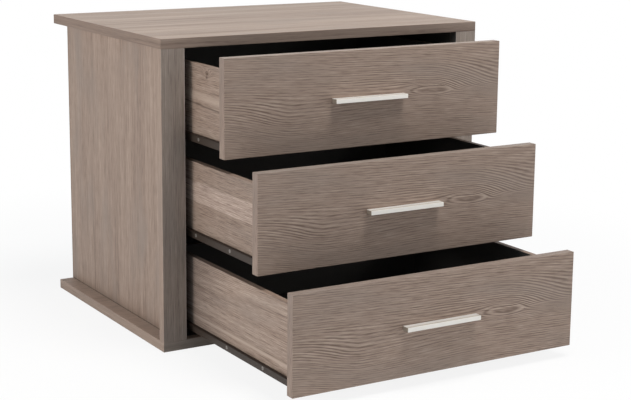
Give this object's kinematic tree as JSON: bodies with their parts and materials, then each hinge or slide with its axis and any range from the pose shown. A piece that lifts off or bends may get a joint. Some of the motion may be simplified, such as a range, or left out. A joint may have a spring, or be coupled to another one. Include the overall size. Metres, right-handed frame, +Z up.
{
  "type": "drawer unit",
  "caption": "Free-standing oak-effect drawer unit: overhanging top and base, front stiles, and drawers with slim metal pulls that slide out on roller runners.",
  "frame": {"origin": "centre of the base panel's underside, on the floor", "axes": "+Z up, -Y out of the front where the drawers open, +X to the right seen from the front"},
  "size_m": [0.6, 0.7841, 0.502],
  "materials": {
    "oak_board": "matt grey-brown oak grain decor on board",
    "drawer_board": "lighter grey-brown oak grain decor on thin board",
    "hardboard": "dark coated hardboard",
    "satin_nickel": "satin nickel",
    "brown_steel": "dark brown powder-coated steel",
    "zinc_steel": "bright zinc plating",
    "zinc_cast": "plain zinc die casting",
    "nylon": "off-white nylon",
    "beech": "plain fluted beech"
  },
  "bodies": {
    "carcass": {"back_panel": "hardboard", "back_panel_nails": "zinc_steel", "base_panel": "oak_board", "bottom_left_runner": "brown_steel", "bottom_right_runner": "brown_steel", "cam_bolts": "zinc_steel", "cam_locks": "zinc_cast", "carcass_dowels": "beech", "left_front_stile": "oak_board", "left_side_panel": "oak_board", "middle_left_runner": "brown_steel", "middle_right_runner": "brown_steel", "right_front_stile": "oak_board", "right_side_panel": "oak_board", "runner_screws": "zinc_steel", "top_left_runner": "brown_steel", "top_panel": "oak_board", "top_right_runner": "brown_steel"},
    "top_drawer": {"top_drawer_back": "drawer_board", "top_drawer_bottom": "hardboard", "top_drawer_dowels": "beech", "top_drawer_front": "oak_board", "top_drawer_handle": "satin_nickel", "top_drawer_handle_screws": "zinc_steel", "top_drawer_left_rail": "brown_steel", "top_drawer_left_side": "drawer_board", "top_drawer_rail_screws": "zinc_steel", "top_drawer_right_rail": "brown_steel", "top_drawer_right_side": "drawer_board"},
    "top_drawer_rollers": {"top_drawer_rollers": "nylon"},
    "top_runner_rollers": {"top_runner_rollers": "nylon"},
    "middle_drawer": {"middle_drawer_back": "drawer_board", "middle_drawer_bottom": "hardboard", "middle_drawer_dowels": "beech", "middle_drawer_front": "oak_board", "middle_drawer_handle": "satin_nickel", "middle_drawer_handle_screws": "zinc_steel", "middle_drawer_left_rail": "brown_steel", "middle_drawer_left_side": "drawer_board", "middle_drawer_rail_screws": "zinc_steel", "middle_drawer_right_rail": "brown_steel", "middle_drawer_right_side": "drawer_board"},
    "middle_drawer_rollers": {"middle_drawer_rollers": "nylon"},
    "middle_runner_rollers": {"middle_runner_rollers": "nylon"},
    "bottom_drawer": {"bottom_drawer_back": "drawer_board", "bottom_drawer_bottom": "hardboard", "bottom_drawer_dowels": "beech", "bottom_drawer_front": "oak_board", "bottom_drawer_handle": "satin_nickel", "bottom_drawer_handle_screws": "zinc_steel", "bottom_drawer_left_rail": "brown_steel", "bottom_drawer_left_side": "drawer_board", "bottom_drawer_rail_screws": "zinc_steel", "bottom_drawer_right_rail": "brown_steel", "bottom_drawer_right_side": "drawer_board"},
    "bottom_drawer_rollers": {"bottom_drawer_rollers": "nylon"},
    "bottom_runner_rollers": {"bottom_runner_rollers": "nylon"}
  },
  "joints": [
    {"name": "top_drawer_slide", "type": "slide", "parent": "carcass", "child": "top_drawer", "axis": [0, -1, 0], "range_m": [-0.12495, 0.22505]},
    {"name": "top_runner_rollers_turn", "type": "hinge", "parent": "carcass", "child": "top_runner_rollers", "pos_m": [0, -0.193, 0.34622], "axis": [1, 0, 0], "continuous": true},
    {"name": "top_drawer_rollers_turn", "type": "hinge", "parent": "top_drawer", "child": "top_drawer_rollers", "pos_m": [0, 0.06305, 0.34622], "axis": [1, 0, 0], "continuous": true},
    {"name": "middle_drawer_slide", "type": "slide", "parent": "carcass", "child": "middle_drawer", "axis": [0, -1, 0], "range_m": [-0.22785, 0.12215]},
    {"name": "middle_runner_rollers_turn", "type": "hinge", "parent": "carcass", "child": "middle_runner_rollers", "pos_m": [0, -0.193, 0.19038], "axis": [1, 0, 0], "continuous": true},
    {"name": "middle_drawer_rollers_turn", "type": "hinge", "parent": "middle_drawer", "child": "middle_drawer_rollers", "pos_m": [0, -0.03985, 0.19038], "axis": [1, 0, 0], "continuous": true},
    {"name": "bottom_drawer_slide", "type": "slide", "parent": "carcass", "child": "bottom_drawer", "axis": [0, -1, 0], "range_m": [-0.3311, 0.0189]},
    {"name": "bottom_runner_rollers_turn", "type": "hinge", "parent": "carcass", "child": "bottom_runner_rollers", "pos_m": [0, -0.193, 0.03455], "axis": [1, 0, 0], "continuous": true},
    {"name": "bottom_drawer_rollers_turn", "type": "hinge", "parent": "bottom_drawer", "child": "bottom_drawer_rollers", "pos_m": [0, -0.1431, 0.03455], "axis": [1, 0, 0], "continuous": true}
  ],
  "couplings": [
    {"joint": "top_runner_rollers_turn", "follows": "top_drawer_slide", "rad_per_m": 200},
    {"joint": "top_drawer_rollers_turn", "follows": "top_drawer_slide", "rad_per_m": 200},
    {"joint": "middle_runner_rollers_turn", "follows": "middle_drawer_slide", "rad_per_m": 200},
    {"joint": "middle_drawer_rollers_turn", "follows": "middle_drawer_slide", "rad_per_m": 200},
    {"joint": "bottom_runner_rollers_turn", "follows": "bottom_drawer_slide", "rad_per_m": 200},
    {"joint": "bottom_drawer_rollers_turn", "follows": "bottom_drawer_slide", "rad_per_m": 200}
  ]
}
